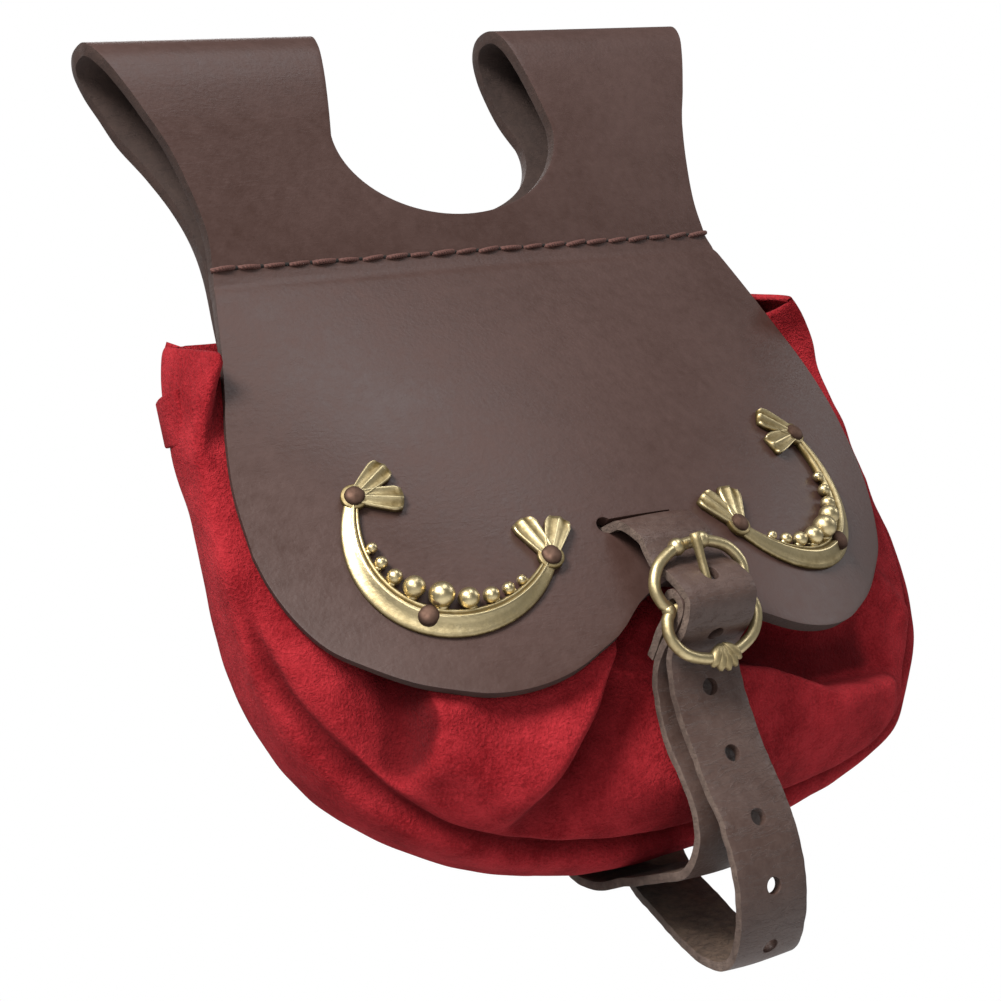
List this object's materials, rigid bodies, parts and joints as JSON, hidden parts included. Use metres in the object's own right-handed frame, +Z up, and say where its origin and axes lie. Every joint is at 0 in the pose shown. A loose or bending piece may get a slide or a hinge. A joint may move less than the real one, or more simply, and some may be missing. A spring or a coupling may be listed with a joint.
{
  "type": "medieval belt pouch",
  "caption": "Kidney-shaped belt pouch: a lobed leather flap with two belt loops over a soft suede bag, with brass crescents and a buckled leather strap.",
  "frame": {"origin": "the centre line of the belt that the two loops hang on, in the middle of the pouch", "axes": "+Z up, +Y towards the wearer's body, +X to the right as the front is seen"},
  "size_m": [0.1823, 0.0871, 0.2377],
  "materials": {
    "brown_leather": "satin",
    "red_suede": "napped",
    "strap_leather": "satin",
    "brass": "cast, lightly polished",
    "rivet_copper": "dark, hammered"
  },
  "bodies": {
    "root": {"leather_body": "brown_leather", "suede_bag": "red_suede", "hole_strap": "strap_leather", "buckle_strap": "strap_leather", "buckle_frame": "brass", "buckle_pin": "brass", "crescent_left": "brass", "rivet_left_outer": "rivet_copper", "rivet_left_inner": "rivet_copper", "rivet_left_middle": "rivet_copper", "crescent_right": "brass", "rivet_right_outer": "rivet_copper", "rivet_right_inner": "rivet_copper", "rivet_right_middle": "rivet_copper"}
  },
  "joints": []
}
